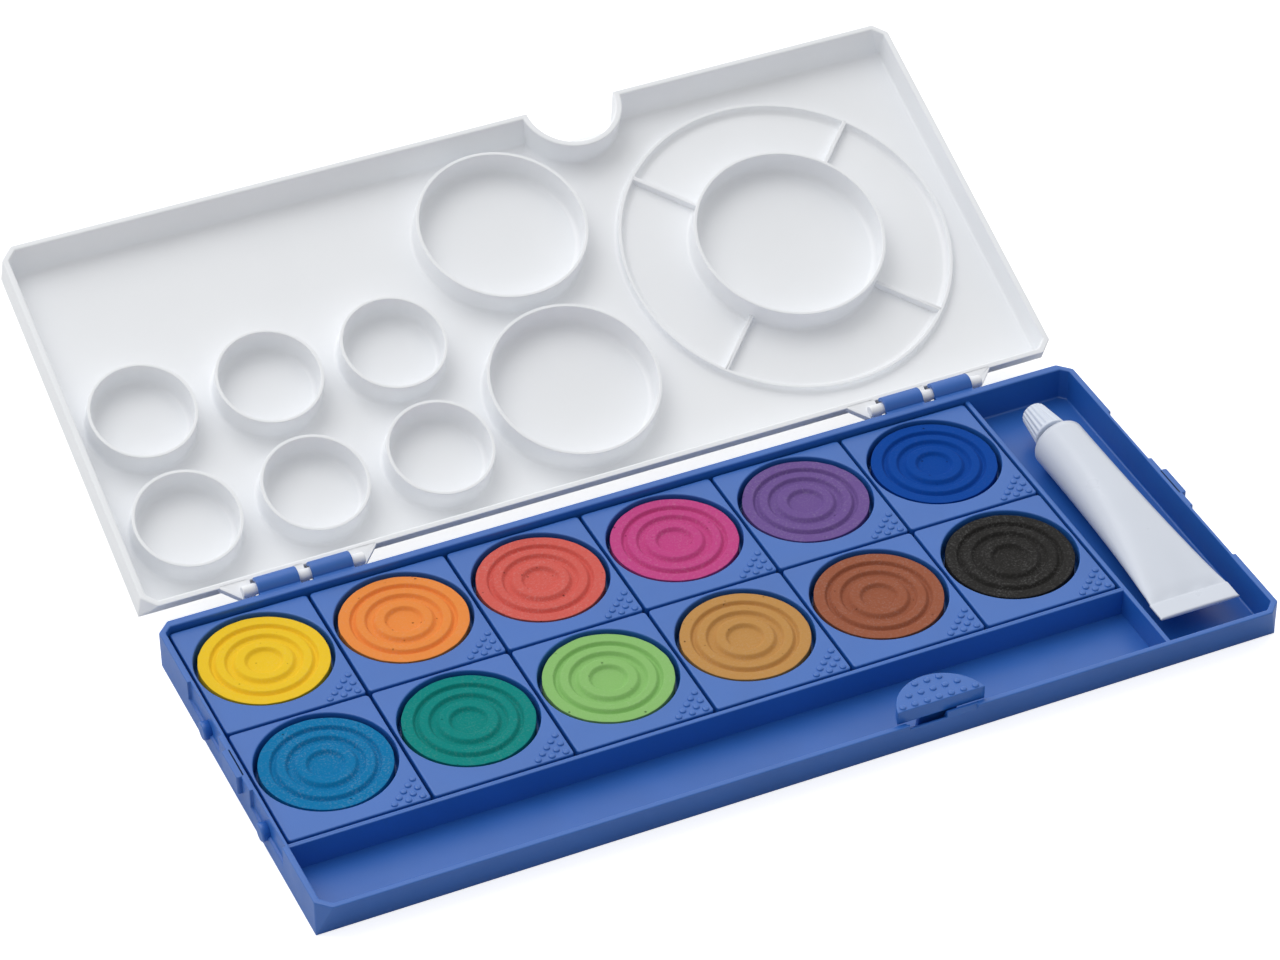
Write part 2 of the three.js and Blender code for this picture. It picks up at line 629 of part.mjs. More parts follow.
const lidGroup = new THREE.Group();
lidGroup.position.set(0, axisY, axisZ);
lidGroup.rotation.x = LID_TILT;
lidGroup.add(named("lid", geometryOf(lidSolid()), white));
paintBox.add(lidGroup);

const panShape = geometryOf(panSolid());
const tabletShape = tabletGeometry();
paints.forEach(([name, color], index) => {
  const pan = new THREE.Group();
  const column = index % PAN_COLUMNS;
  const row = Math.floor(index / PAN_COLUMNS);
  pan.position.set(firstPanX + column * panPitchX, backRowY - row * panPitchY, 0);
  pan.add(named(`pan_${name}`, panShape, blue));
  pan.add(named(`tablet_${name}`, tabletShape, material(color, 0.85)));
  paintBox.add(pan);
});

const tube = new THREE.Group();
tube.position.set(tubeX, shoulderY, tubeZ);
tube.add(named("tube_body", tubeGeometry(), tubeWhite));
tube.add(named("tube_cap", capGeometry(), tubeWhite));
paintBox.add(tube);

export default paintBox;
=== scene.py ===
"""The look of an open school paint box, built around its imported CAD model.

Every piece is made in metres in the model's own frame: +Z up, +X along the box, +Y towards the hinges,
with the origin in the middle of the tray's underside. Sizes below are in millimetres until a mesh is made.
"""

import bpy
import numpy as np
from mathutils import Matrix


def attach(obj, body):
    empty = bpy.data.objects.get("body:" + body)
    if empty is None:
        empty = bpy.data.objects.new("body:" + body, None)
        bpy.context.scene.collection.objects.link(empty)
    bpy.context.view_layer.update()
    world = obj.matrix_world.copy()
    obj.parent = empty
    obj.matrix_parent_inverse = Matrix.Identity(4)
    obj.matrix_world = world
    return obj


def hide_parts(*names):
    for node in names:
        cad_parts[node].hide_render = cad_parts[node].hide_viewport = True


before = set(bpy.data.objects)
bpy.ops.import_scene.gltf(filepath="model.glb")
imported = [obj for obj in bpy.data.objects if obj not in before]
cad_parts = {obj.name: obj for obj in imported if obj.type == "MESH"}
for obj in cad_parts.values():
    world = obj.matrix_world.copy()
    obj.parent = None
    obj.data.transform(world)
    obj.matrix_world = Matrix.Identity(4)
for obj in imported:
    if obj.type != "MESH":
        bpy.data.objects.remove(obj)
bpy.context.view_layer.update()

# Camera, table and light
# The open box stands on a white table. A wide soft lamp hangs high on the left, and the room is brightest
# behind the box and a third as bright in front. The camera looks down 39 degrees from the front left.
CAMERA_PLACE = (-0.3386, -0.7010, 0.6729)
CAMERA_TURN = (51.307, 0.158, -24.577)
CAMERA_LENS = 126.9
TABLE_REACH = 4.0
TABLE_WHITE = (0.78, 0.785, 0.79, 1)
TABLE_LIFT = 0.74
ROOM_BRIGHT_SIDE = (0.0, 0.96, 0.29)
ROOM_DIM_LEAN = -0.2
ROOM_DIM = 0.43
ROOM_BRIGHT = 1.3
LAMP_PLACE = (-0.45, 0.55, 1.6)
LAMP_SIZE = (1.5, 1.0)
LAMP_POWER = 8.0

scene = bpy.context.scene
scene.view_settings.view_transform = "Standard"
eye = bpy.data.cameras.new("camera")
eye.sensor_width = 36
eye.lens = CAMERA_LENS
camera = bpy.data.objects.new("camera", eye)
camera.location = CAMERA_PLACE
camera.rotation_euler = np.radians(CAMERA_TURN)
scene.collection.objects.link(camera)
scene.camera = camera


def add_node(tree, kind, values=None, **settings):
    """A node of one kind with its settings. values gives inputs a number, a colour or another's output."""
    made = tree.nodes.new(kind)
    for name, setting in settings.items():
        setattr(made, name, setting)
    for name, value in (values or {}).items():
        if isinstance(value, bpy.types.NodeSocket):
            tree.links.new(value, made.inputs[name])
        else:
            made.inputs[name].default_value = value
    return made


def add_signal(tree, kind, values=None, output=0, **settings):
    """A node made by add_node, given as one of its outputs, ready to feed another node."""
    return add_node(tree, kind, values, **settings).outputs[output]


def new_material(name):
    """A node material and its tree, which is still empty."""
    material = bpy.data.materials.new(name)
    material.use_nodes = True
    material.node_tree.nodes.clear()
    return material, material.node_tree


def white_seen(tree, strength):
    """That strength where the camera looks straight at a surface, and none in the light it casts."""
    seen = add_signal(tree, "ShaderNodeLightPath", output="Is Camera Ray")
    return add_signal(tree, "ShaderNodeMath", {0: seen, 1: strength}, operation="MULTIPLY")


table_finish, tree = new_material("white_table")
table_grain = add_signal(tree, "ShaderNodeTexNoise", {"Scale": 900.0, "Detail": 3.0}, "Fac")
table_bump = add_signal(tree, "ShaderNodeBump", {"Strength": 0.05, "Distance": 0.0001, "Height": table_grain})
table_shader = add_signal(tree, "ShaderNodeBsdfPrincipled", {
    "Base Color": TABLE_WHITE, "Roughness": 0.75, "Normal": table_bump,
    "Emission Color": (1, 1, 1, 1), "Emission Strength": white_seen(tree, TABLE_LIFT)})
add_node(tree, "ShaderNodeOutputMaterial", {"Surface": table_shader})

corners = np.array([(-1, -1, 0), (1, -1, 0), (1, 1, 0), (-1, 1, 0)]) * TABLE_REACH
table_mesh = bpy.data.meshes.new("table")
table_mesh.from_pydata(corners.tolist(), [], [(0, 1, 2, 3)])
table_mesh.materials.append(table_finish)
table = bpy.data.objects.new("table", table_mesh)
scene.collection.objects.link(table)

room = bpy.data.worlds.new("room")
room.use_nodes = True
scene.world = room
tree = room.node_tree
tree.nodes.clear()
toward = add_signal(tree, "ShaderNodeTexCoord", output="Generated")
lean = add_signal(tree, "ShaderNodeVectorMath", {0: toward, 1: ROOM_BRIGHT_SIDE}, "Value",
                  operation="DOT_PRODUCT")
graded = add_signal(tree, "ShaderNodeMapRange", {"Value": lean, "From Min": ROOM_DIM_LEAN,
                                                 "To Min": ROOM_DIM, "To Max": ROOM_BRIGHT})
level = add_signal(tree, "ShaderNodeMath", {0: graded, 1: white_seen(tree, 1.0)}, operation="MAXIMUM")
air = add_signal(tree, "ShaderNodeBackground", {"Color": (1, 1, 1, 1), "Strength": level})
add_node(tree, "ShaderNodeOutputWorld", {"Surface": air})

lamp_data = bpy.data.lights.new("softbox", "AREA")
lamp_data.shape = "RECTANGLE"
lamp_data.size, lamp_data.size_y = LAMP_SIZE
lamp_data.energy = LAMP_POWER
lamp = bpy.data.objects.new("softbox", lamp_data)
lamp.location = LAMP_PLACE
lamp.rotation_euler = (-lamp.location).to_track_quat("-Z", "Y").to_euler()
scene.collection.objects.link(lamp)

# Tray
# One injection moulding in blue polystyrene: a shallow trough whose front wall leans outwards, two low
# dividers, finger grips on its ends and four hooks at the back that carry the lid's rods.
TRAY_HALF = 117.5
TRAY_DEEP = 51.2
TRAY_HEIGHT = 9.8
TRAY_FLOOR = 1.3
WALL = 1.5
BACK_WALL = 2.2
CORNER = 3.2
TRAY_EDGE = 0.4
STATION = 0.09
LEAST_LEG = 0.01
SLOT_FADE = (6.0, 9.0)
PAN_LEVEL = 8.3
DIVIDER = 1.2
DIVIDER_FOOT = 0.9
DIVIDER_EDGE = 0.28
DIVIDER_CORNER = 0.59
DIVIDER_Y = -27.45
DIVIDER_X = 88.35
GRIP_LOW = 4.8
GRIP_CUT = 0.75
GRIP_ENDS = (9.7, 29.4)
GRIP_BLOCK = (4.85, 1.1)
END_LAP = 1.0
LUG_Y = 18.0
LUG_RADIUS = 2.2
LUG_OUT = 1.2
TAB_X = 30.6
RECESS = (22.2, 39.0, 1.5)
SLOT = (21.7, 31.6, 2.6)
AXIS_Y = 54.1
AXIS_Z = 9.14
HOOK_X = (-86.8, -73.6, 73.6, 86.8)
HOOK_WIDTH = 10.1
HOOK_INNER = 1.65
HOOK_WALL = 0.95
HOOK_ROOT = 3.4
HOOK_ROOT_LAP = 1.1
HOOK_ROOT_DIP = 0.03
UNIT_SQUARE = np.array([(1, -1), (1, 1), (-1, 1), (-1, -1)])
BLUE = (34, 99, 184)


def linear(red, green, blue):
    """A colour written in screen levels of 0 to 255, as the linear colour that a shader takes."""
    level = np.array((red, green, blue)) / 255
    return (*np.where(level <= 0.04045, level / 12.92, ((level + 0.055) / 1.055) ** 2.4), 1.0)


def points_of(*coordinates):
    """Points from their coordinates, each a number or an array, spread out to one shape."""
    return np.stack(np.broadcast_arrays(*coordinates), -1)


def smooth_step(low, high, value):
    """0 below low and 1 above high, and 3 t^2 - 2 t^3 between them."""
    t = np.clip((value - low) / (high - low), 0, 1)
    return t * t * (3 - 2 * t)


def eased(corners, reach, steps, closed=False):
    """A line through corners, with each corner cut back by reach and joined by a quadratic curve.

    The curve from a to b round the corner c is (1 - t)^2 a + 2 t (1 - t) c + t^2 b, for t from 0 to 1.
    """
    corners = np.asarray(corners, float)
    before, after = np.roll(corners, 1, 0), np.roll(corners, -1, 0)
    reach = np.broadcast_to(reach, len(corners))[:, None]
    a = corners + (before - corners) / np.linalg.norm(before - corners, axis=1)[:, None] * reach
    b = corners + (after - corners) / np.linalg.norm(after - corners, axis=1)[:, None] * reach
    t = np.linspace(0, 1, steps)[None, :, None]
    line = (1 - t) ** 2 * a[:, None] + 2 * t * (1 - t) * corners[:, None] + t**2 * b[:, None]
    if closed:
        return line.reshape(-1, corners.shape[1])
    return np.vstack([corners[:1], line[1:-1].reshape(-1, corners.shape[1]), corners[-1:]])


def closed_skin(rows, foot=None, head=None):
    """The points and faces of a closed skin over rows of points.

    Each row is a loop, and each point is joined to the next in its loop and to its fellow in the next row.
    The first loop is fanned to the point foot and the last to the point head, or to their own middles.
    Loops run anticlockwise round the direction in which the rows climb, so the faces point outwards.
    """
    rows = np.asarray(rows)
    count, around = rows.shape[:2]
    foot = rows[0].mean(0) if foot is None else foot
    head = rows[-1].mean(0) if head is None else head
    points = np.vstack([rows.reshape(-1, 3), foot, head])
    here = np.arange(around)
    ahead = np.roll(here, -1)
    start = np.arange(count - 1)[:, None] * around
    quads = np.stack([start + here, start + ahead, start + ahead + around, start + here + around], -1)
    last = (count - 1) * around
    lower = np.stack([ahead, here, np.full(around, count * around)], -1)
    upper = np.stack([last + here, last + ahead, np.full(around, count * around + 1)], -1)
    return points, quads.reshape(-1, 4).tolist() + lower.tolist() + upper.tolist()


def skins_mesh(*skins):
    """One mesh in metres of several skins whose points are in millimetres."""
    starts = np.cumsum([0] + [len(points) for points, _ in skins])
    faces = [[int(start + corner) for corner in face]
             for start, (_, some) in zip(starts, skins) for face in some]
    mesh = bpy.data.meshes.new("skins")
    mesh.from_pydata((np.vstack([points for points, _ in skins]) / 1000).tolist(), [], faces)
    return mesh


def prism(outline, low, high, edge):
    """A skin that carries an anticlockwise outline from low to high, with both its rims rolled over.

    A point of a rim is drawn in by the inset of the rolled profile, along the outline's left hand normal.
    """
    along = np.roll(outline, -1, 0) - np.roll(outline, 1, 0)
    inwards = points_of(-along[:, 1], along[:, 0]) / np.linalg.norm(along, axis=1)[:, None]
    profile = eased([(edge * 1.4, low), (0, low), (0, high), (edge * 1.4, high)], edge, 5)
    return closed_skin([points_of(*(outline + inwards * inset).T, z) for inset, z in profile])


def block(low, high, edge, corner=None):
    """A box between two corners with its edges rolled. Its upright edges are eased by corner, which is at
    least twice edge, so that the rims drawn in from them don't fold over."""
    outline = np.array([low[:2], (high[0], low[1]), high[:2], (low[0], high[1])])
    return prism(eased(outline, corner or edge * 2, 6, True), low[2], high[2], edge)


def mirrored(skin):
    """The skin reflected in the plane x = 0, its faces turned round so that they still point outwards."""
    points, faces = skin
    return points * (-1, 1, 1), [face[::-1] for face in faces]


def moved(skin, way):
    """The skin moved by way, a distance in x, y and z."""
    points, faces = skin
    return points + way, faces


def trough_outline(half, front, back, front_leg, back_leg, front_stations, side_stations, back_line):
    """A trough's outline at one height, anticlockwise: four walls and the chamfers that join them.

    Each corner is eased, and each wall has points at fixed stations, so loops of other heights match it.
    back_line gives the points along the back wall, from right to left.
    """
    right_half = np.array([(half - front_leg, front), (half, front + front_leg),
                           (half, back - back_leg), (half - back_leg, back)])
    left_half = right_half[::-1] * (-1, 1)
    corners = np.vstack([left_half[3:], right_half, left_half[:3]])
    legs = np.array([front_leg] * 3 + [back_leg] * 4 + [front_leg])
    reach = np.minimum(0.35, 0.4 * legs)
    curve = eased(corners, reach, 4, True).reshape(8, 4, 2)
    return np.vstack([curve[0], points_of(front_stations, front), curve[1],
                      curve[2], points_of(half, side_stations), curve[3],
                      curve[4], back_line, curve[5],
                      curve[6], points_of(-half, side_stations[::-1]), curve[7]])


def about(places):
    """Four points close round each place, where a narrow step in the surface needs them."""
    return np.add.outer(places, STATION * np.array((-1, -0.3, 0.3, 1))).ravel()


def step_between(ends, places):
    """1 between the first two of ends and 0 outside them, with a narrow smooth step at each."""
    rise, fall = (smooth_step(end - STATION, end + STATION, places) for end in ends[:2])
    return rise * (1 - fall)


def tray_loop(inset, z):
    """The tray's wall at height z: the outer face at inset 0, the inner face at inset 1.5, and further
    in past that. The front wall and its chamfers lean inwards as z falls."""
    drop = (TRAY_HEIGHT - z) / TRAY_HEIGHT
    fronts = np.sort(np.append(np.linspace(-105, 105, 15), about((*SLOT[:2], *RECESS[:2]))))
    ends = about((-GRIP_ENDS[1], -GRIP_ENDS[0], *GRIP_ENDS))
    backs = np.linspace(108, -108, 12)
    outer_leg, inner_leg = CORNER, CORNER + WALL * np.sqrt(2) - WALL
    outer = trough_outline(TRAY_HALF, -TRAY_DEEP + CORNER * drop, TRAY_DEEP,
                           max(outer_leg * (1 - drop), LEAST_LEG), outer_leg,
                           fronts, ends, points_of(backs, TRAY_DEEP))
    inner = trough_outline(TRAY_HALF - WALL, -TRAY_DEEP + WALL + CORNER * drop, TRAY_DEEP - BACK_WALL,
                           max((inner_leg - WALL) * (1 - drop), LEAST_LEG), inner_leg - BACK_WALL,
                           fronts, ends, points_of(backs, TRAY_DEEP - BACK_WALL))
    return points_of(*(outer + (inner - outer) * inset / WALL).T, z)


def tray_shell():
    """The trough, its profile carried round the outline: underside, outer face, rim, inner face, floor.

    The grips are steps of the outer face in y and z. The slot for the latch is a step in x of the front rim's
    inner half, and the recess is a scoop of its outer half that falls towards the front.
    """
    profile = np.vstack([
        eased([(3, 0), (0, 0), (0, 1.6)], [0, 0.3, 0], 5),
        [(0, z) for z in (3.0, *about([GRIP_LOW]), 6.0, 8.0)],
        eased([(0, 9.0), (0, TRAY_HEIGHT), (WALL / 2 - 0.02, TRAY_HEIGHT)], [0, TRAY_EDGE, 0], 6),
        eased([(WALL / 2 + 0.02, TRAY_HEIGHT), (WALL, TRAY_HEIGHT), (WALL, 6.0)], [0, TRAY_EDGE, 0], 6),
        eased([(WALL, 3.0), (WALL, TRAY_FLOOR), (WALL + 0.6, TRAY_FLOOR)], [0, 0.5, 0], 5)])
    rows = np.stack([tray_loop(inset, z) for inset, z in profile])
    inset, z = profile[:, :1], rows[..., 2]
    x, y = rows[..., 0], rows[..., 1]
    in_grip = step_between(GRIP_ENDS, np.abs(y))
    on_end = np.abs(x) > TRAY_HALF - WALL - 0.01
    raised = smooth_step(GRIP_LOW - STATION, GRIP_LOW + STATION, z) * np.clip(1 - inset / WALL, 0, 1)
    rows[..., 0] -= np.sign(x) * GRIP_CUT * in_grip * on_end * raised
    scoop = 1 - np.clip(inset / WALL * 2, 0, 1) * (1 - step_between(SLOT, x))
    deep = np.where(inset < WALL / 2, RECESS[2] * scoop * step_between(RECESS, x),
                    SLOT[2] * step_between(SLOT, x))
    fade = np.clip((z - SLOT_FADE[0]) / (SLOT_FADE[1] - SLOT_FADE[0]), 0, 1)
    sunk = deep * fade * (y < -TRAY_DEEP + CORNER + WALL)
    rows[..., 2] -= sunk
    rows[..., 1] += sunk * CORNER / TRAY_HEIGHT
    return closed_skin(rows)


def tube_divider():
    """The divider beside the tube. Its near end leans with the front wall that it runs into."""
    left, right = DIVIDER_X, DIVIDER_X + DIVIDER
    outline = eased([(left, DIVIDER_FOOT), (right, DIVIDER_FOOT), (right, PAN_LEVEL), (left, PAN_LEVEL)],
                    [0.1, 0.1, TRAY_EDGE, TRAY_EDGE], 5, True)
    x, z = outline.T
    near = -TRAY_DEEP + WALL / 2 + CORNER * (TRAY_HEIGHT - z) / TRAY_HEIGHT
    return closed_skin([points_of(x, y, z) for y in (TRAY_DEEP - BACK_WALL / 2, near)])


def hook(centre):
    """One hook: a flat bar carried round the rod from 196 degrees to its tip at 30 degrees.

    At the angle a the bar's middle is at the radius r from the axis, so y = r cos a and z = r sin a. Across
    the bar, one side of its section lies along x and the other along the radius.
    """
    bar = eased(UNIT_SQUARE * (HOOK_WIDTH / 2, HOOK_WALL / 2), 0.28, 4, True)
    angle = np.radians(np.concatenate([np.linspace(196, 40, 26), [34, 31, 30]]))[:, None]
    thin = np.concatenate([np.ones(27), [0.8, 0.5]])[:, None]
    radius = HOOK_INNER + HOOK_WALL / 2 - bar[:, 1] * thin
    return closed_skin(points_of(centre + bar[:, 0], AXIS_Y + radius * np.cos(angle),
                                 AXIS_Z + radius * np.sin(angle)))


def lug(y):
    """A round boss on the tray's right end: a disc whose outer rim is rolled, turned about x."""
    turn = np.linspace(0, 2 * np.pi, 40, endpoint=False)
    end = TRAY_HALF + LUG_OUT
    profile = eased([(TRAY_HALF - END_LAP, LUG_RADIUS), (end, LUG_RADIUS), (end, 0.4)], [0, 0.5, 0], 6)
    x, radius = profile[:, :1], profile[:, 1:]
    return closed_skin(points_of(x, y + radius * np.cos(turn), GRIP_LOW + radius * np.sin(turn)))


def effect_group(name, inputs):
    """A shader group and the sockets where its inputs enter it. inputs gives each its kind, and every
    group has the outputs Colour, Roughness and Normal."""
    group = bpy.data.node_groups.new(name, "ShaderNodeTree")
    outputs = {"Colour": "Color", "Roughness": "Float", "Normal": "Vector"}
    for in_out, sockets in (("INPUT", inputs), ("OUTPUT", outputs)):
        for label, kind in sockets.items():
            group.interface.new_socket(label, in_out=in_out, socket_type="NodeSocket" + kind)
    return group, add_node(group, "NodeGroupInput").outputs


def grouped_material(name, group, values, shine):
    """A material whose colour, roughness and normal come from an effect's group, set by values."""
    material, tree = new_material(name)
    look = add_node(tree, "ShaderNodeGroup", node_tree=group)
    for label, value in values.items():
        look.inputs[label].default_value = value
    shader = add_signal(tree, "ShaderNodeBsdfPrincipled", {
        "Base Color": look.outputs["Colour"], "Roughness": look.outputs["Roughness"],
        "Normal": look.outputs["Normal"], "Specular IOR Level": shine})
    add_node(tree, "ShaderNodeOutputMaterial", {"Surface": shader})
    return material


# Moulded plastic: slow flow marks in its colour, a gloss that wanders a little and a fine etched grain
moulded, given = effect_group("moulded_plastic", {"Colour": "Color", "Flow": "Float", "Polish": "Float",
                                                  "Grain": "Float"})
place = add_signal(moulded, "ShaderNodeTexCoord", output="Object")
flow = add_signal(moulded, "ShaderNodeTexNoise", {"Vector": place, "Scale": 45.0, "Detail": 3.0,
                                                  "Distortion": 0.6}, "Fac")
flow_shade = add_signal(moulded, "ShaderNodeMapRange", {"Value": flow, "From Min": 0.3, "From Max": 0.7,
                                                        "To Min": -1.0, "To Max": 1.0})
flow_size = add_signal(moulded, "ShaderNodeMath", {0: flow_shade, 1: given["Flow"], 2: 1.0},
                       operation="MULTIPLY_ADD")
tinted = add_signal(moulded, "ShaderNodeVectorMath", {0: given["Colour"], "Scale": flow_size},
                    operation="SCALE")
etch = add_signal(moulded, "ShaderNodeTexNoise", {"Vector": place, "Scale": 2600.0, "Detail": 2.0,
                                                  "Roughness": 0.6}, "Fac")
smear = add_signal(moulded, "ShaderNodeTexNoise", {"Vector": place, "Scale": 160.0, "Detail": 4.0}, "Fac")
gloss = add_signal(moulded, "ShaderNodeMath", {0: smear, 1: 0.16, 2: -0.08}, operation="MULTIPLY_ADD")
rough = add_signal(moulded, "ShaderNodeMath", {0: gloss, 1: given["Polish"]}, operation="ADD")
etched = add_signal(moulded, "ShaderNodeBump", {"Strength": given["Grain"], "Distance": 0.00003,
                                                "Height": etch})
add_node(moulded, "NodeGroupOutput", {"Colour": tinted, "Roughness": rough, "Normal": etched})


def plastic(name, colour, flow, polish, grain, shine=0.5):
    """Moulded plastic of one colour, with its flow marks, roughness, grain and strength of reflection."""
    return grouped_material(name, moulded, {"Colour": linear(*colour), "Flow": flow, "Polish": polish,
                                            "Grain": grain}, shine)


def finish_piece(mesh, name, material, slot, body, *nodes):
    """Makes the mesh a piece: smooth, in its material, riding on its body and standing for its CAD nodes.

    A weighted normal lets its large flat faces set the shading, so that only the rolled edges turn.
    """
    mesh.name = name
    mesh.shade_smooth()
    mesh.materials.append(material)
    piece = bpy.data.objects.new(name, mesh)
    scene.collection.objects.link(piece)
    even = piece.modifiers.new("even_shading", "WEIGHTED_NORMAL")
    even.weight = 80
    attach(piece, body)
    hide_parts(*nodes)


blue_plastic = plastic("blue_plastic", BLUE, 0.05, 0.40, 0.3, 0.75)
pan_divider = block((-TRAY_HALF + WALL / 2, DIVIDER_Y - DIVIDER, DIVIDER_FOOT),
                    (DIVIDER_X + DIVIDER / 2, DIVIDER_Y, PAN_LEVEL), DIVIDER_EDGE, DIVIDER_CORNER)
grip_block = block((TRAY_HALF - END_LAP, -GRIP_BLOCK[0], GRIP_LOW),
                   (TRAY_HALF + GRIP_BLOCK[1], GRIP_BLOCK[0], TRAY_HEIGHT), 0.3)
end_fittings = [grip_block, lug(LUG_Y), lug(-LUG_Y)]

# A hook's root stops a hair below the rim, so that the two flat tops don't lie in one plane
hook_roots = [block((x - HOOK_WIDTH / 2, TRAY_DEEP - HOOK_ROOT_LAP, AXIS_Z - HOOK_ROOT),
                    (x + HOOK_WIDTH / 2, AXIS_Y - HOOK_INNER, TRAY_HEIGHT - HOOK_ROOT_DIP), 0.25)
              for x in HOOK_X]
finish_piece(
    skins_mesh(tray_shell(), tube_divider(), pan_divider, *end_fittings, *map(mirrored, end_fittings),
               *hook_roots, *map(hook, HOOK_X)),
    "tray_moulding", blue_plastic, "tray_plastic", "tray", "tray")

# Latch tab
# A half-round thumb plate with rows of grip domes, on a flat leg that stands inside the front wall and
# is bent backwards to free the lid. It is blue polystyrene like the tray.
TAB_CHORD = -49.27
TAB_REACH = 8.9
TAB_HALF_WIDTH = 10.8
TAB_BOTTOM = 9.4
TAB_TOP = 13.0
TAB_EDGE = 0.28
LEG_WIDTH = 9.5
LEG_THICKNESS = 1.2
LEG_FOOT = (-46.12, 1.6)
LEG_HEAD = (-48.07, 11.0)
TAB_DOME_PITCH = 3.01
TAB_DOME_ROWS = ((-48.16, 3), (-45.14, 2), (-42.17, 1))
DOME_RADIUS = 0.8
DOME_HEIGHT = 0.36


def dome(x, y, z):
    """A low round button half sunk in a face at height z, by latitude u and longitude v.

    Its radius goes with the square root of cos u and its height with sin u, so its top is flatter than
    a ball's.
    """
    u = np.radians(np.linspace(-40, 85, 9))[:, None]
    v = np.linspace(0, 2 * np.pi, 20, endpoint=False)[None]
    radius = DOME_RADIUS * np.sqrt(np.cos(u))
    return closed_skin(points_of(x + radius * np.cos(v), y + radius * np.sin(v), z + DOME_HEIGHT * np.sin(u)))


def plate_outline(inset):
    """The half-round plate's outline, drawn in by inset: a circle's arc from end to end, and its chord."""
    radius = (TAB_HALF_WIDTH**2 + TAB_REACH**2) / (2 * TAB_REACH)
    middle = TAB_CHORD + TAB_REACH - radius
    chord = TAB_CHORD + inset
    half = np.sqrt((radius - inset) ** 2 - (chord - middle) ** 2)
    first = np.arctan2(chord - middle, half)
    turn = np.linspace(first, np.pi - first, 48)
    arc = points_of((radius - inset) * np.cos(turn), middle + (radius - inset) * np.sin(turn))
    return np.vstack([arc, points_of(np.linspace(-half, half, 26)[1:-1], chord)])


# The plate climbs from its underside over a rolled edge: each row is an inset and a height
plate_rows = eased([(4.0, TAB_BOTTOM), (0.0, TAB_BOTTOM), (0.0, TAB_TOP), (4.0, TAB_TOP)], TAB_EDGE, 6)
plate = np.stack([points_of(*(plate_outline(inset) + (TAB_X, 0)).T, z) for inset, z in plate_rows])
leg_outline = eased(UNIT_SQUARE * (LEG_WIDTH / 2, LEG_THICKNESS / 2), 0.3, 4, True)
climb = np.linspace(0, 1, 12)[:, None]
leg_middle = np.array(LEG_FOOT) * (1 - climb) + np.array(LEG_HEAD) * climb
leg = np.stack([points_of(*(leg_outline + (TAB_X, y)).T, z) for y, z in leg_middle])
domes = [dome(TAB_X + column * TAB_DOME_PITCH, y, TAB_TOP)
         for y, reach in TAB_DOME_ROWS for column in range(-reach, reach + 1)]
finish_piece(skins_mesh(closed_skin(plate), closed_skin(leg), *domes),
             "latch_plate", blue_plastic, "tray_plastic", "latch", "latch_tab")

# Lid
# One moulding in white polystyrene, hanging open on its hinge rods. Its inside is the palette: nine round
# wells, a low ring with four spokes and a thumb notch, and two flared clips carry the rods.
LID_TILT = np.radians(22.2)
LID_SETBACK = 2.9
LID_RIM_RISE = 0.96
LID_DEEP = 102.8
LID_HEIGHT = 8.8
LID_FLOOR = -7.5
FLOOR_LAP = 0.5
LID_EDGE = 0.4
NOTCH_RADIUS = 11.6
NOTCH_WALL = 1.6
NOTCH_SHELF = 96.4
WELL_WALL = 0.85
WELL_DRAFT = 0.25
WELL_TOP = -0.8
WELL_FOOT = 1.3
BOWL_FOOT = 2.2
SMALL_WELL_RADIUS = 13.0
MEDIUM_WELL_RADIUS = 21.2
CENTRE_WELL_RADIUS = 24.0
RING_RADIUS = 41.9
SPOKE_ENDS = (23.3, 41.6)
SPOKE_WALL = 1.1
SPOKE_EDGE = 0.22
SPOKE_CORNER = 0.54
SMALL_WELLS = [(-99.7 + 31.6 * column, 20.3 + 30.5 * row) for column in range(3) for row in range(2)]
MEDIUM_WELLS = [(1.2, 28.3), (1.2, 74.5)]
CENTRE_WELL = (68.6, 51.4)
RING_TOP = -5.6
CLIP_X = (-80.2, 80.2)
CLIP_THICKNESS = 1.6
CLIP_HALF = 19.3
CLIP_NARROW_HALF = 13.2
CLIP_GAP_END = 11.95
CLIP_MIDDLE_HALF = 1.25
CLIP_REACH = 6.1
CLIP_LAP = 0.75
CLIP_EDGE = 0.17
CLIP_CORNER = 0.36
ROD_RADIUS = 1.4
ROD_HALF = 15.0
SADDLE_HALF = 14.7
SADDLE_EDGE = 0.15
WHITE = (248, 250, 253)


def hung(skin):
    """A skin drawn on the lid (x, v across it from the hinges, w out of its mouth) put where it hangs:
    turned by the tilt about the rods' axis, which lies just outside the lid's hinge side."""
    points, faces = skin
    x, v, w = points.T
    v, w = v + LID_SETBACK, w - LID_RIM_RISE
    return points_of(x, AXIS_Y + v * np.cos(LID_TILT) - w * np.sin(LID_TILT),
                     AXIS_Z + v * np.sin(LID_TILT) + w * np.cos(LID_TILT)), faces


def notched_line(back, radius, shelf):
    """The mouth side wall at v = back, from right to left, where it turns in round the thumb notch.

    A point of the notch is (x, v) = (tab + radius cos a, depth - radius sin a), for a from the wall to the
    wall. shelf is the least v of the notch, where the roof reaches into it.
    """
    first = np.arcsin((LID_DEEP - back) / radius)
    last = np.pi - first
    turn = np.concatenate([[first + 0.006], np.linspace(first + 0.03, last - 0.03, 44), [last - 0.006]])
    beside = radius * np.cos(first) + np.array((0.3, 0.07))
    x = np.concatenate([np.linspace(105, 50, 6), TAB_X + beside, TAB_X + radius * np.cos(turn),
                        TAB_X - beside[::-1], np.linspace(10, -105, 12)])
    v = np.full(len(x), back)
    v[8:54] = np.maximum(LID_DEEP - radius * np.sin(turn), shelf)
    return points_of(x, v)


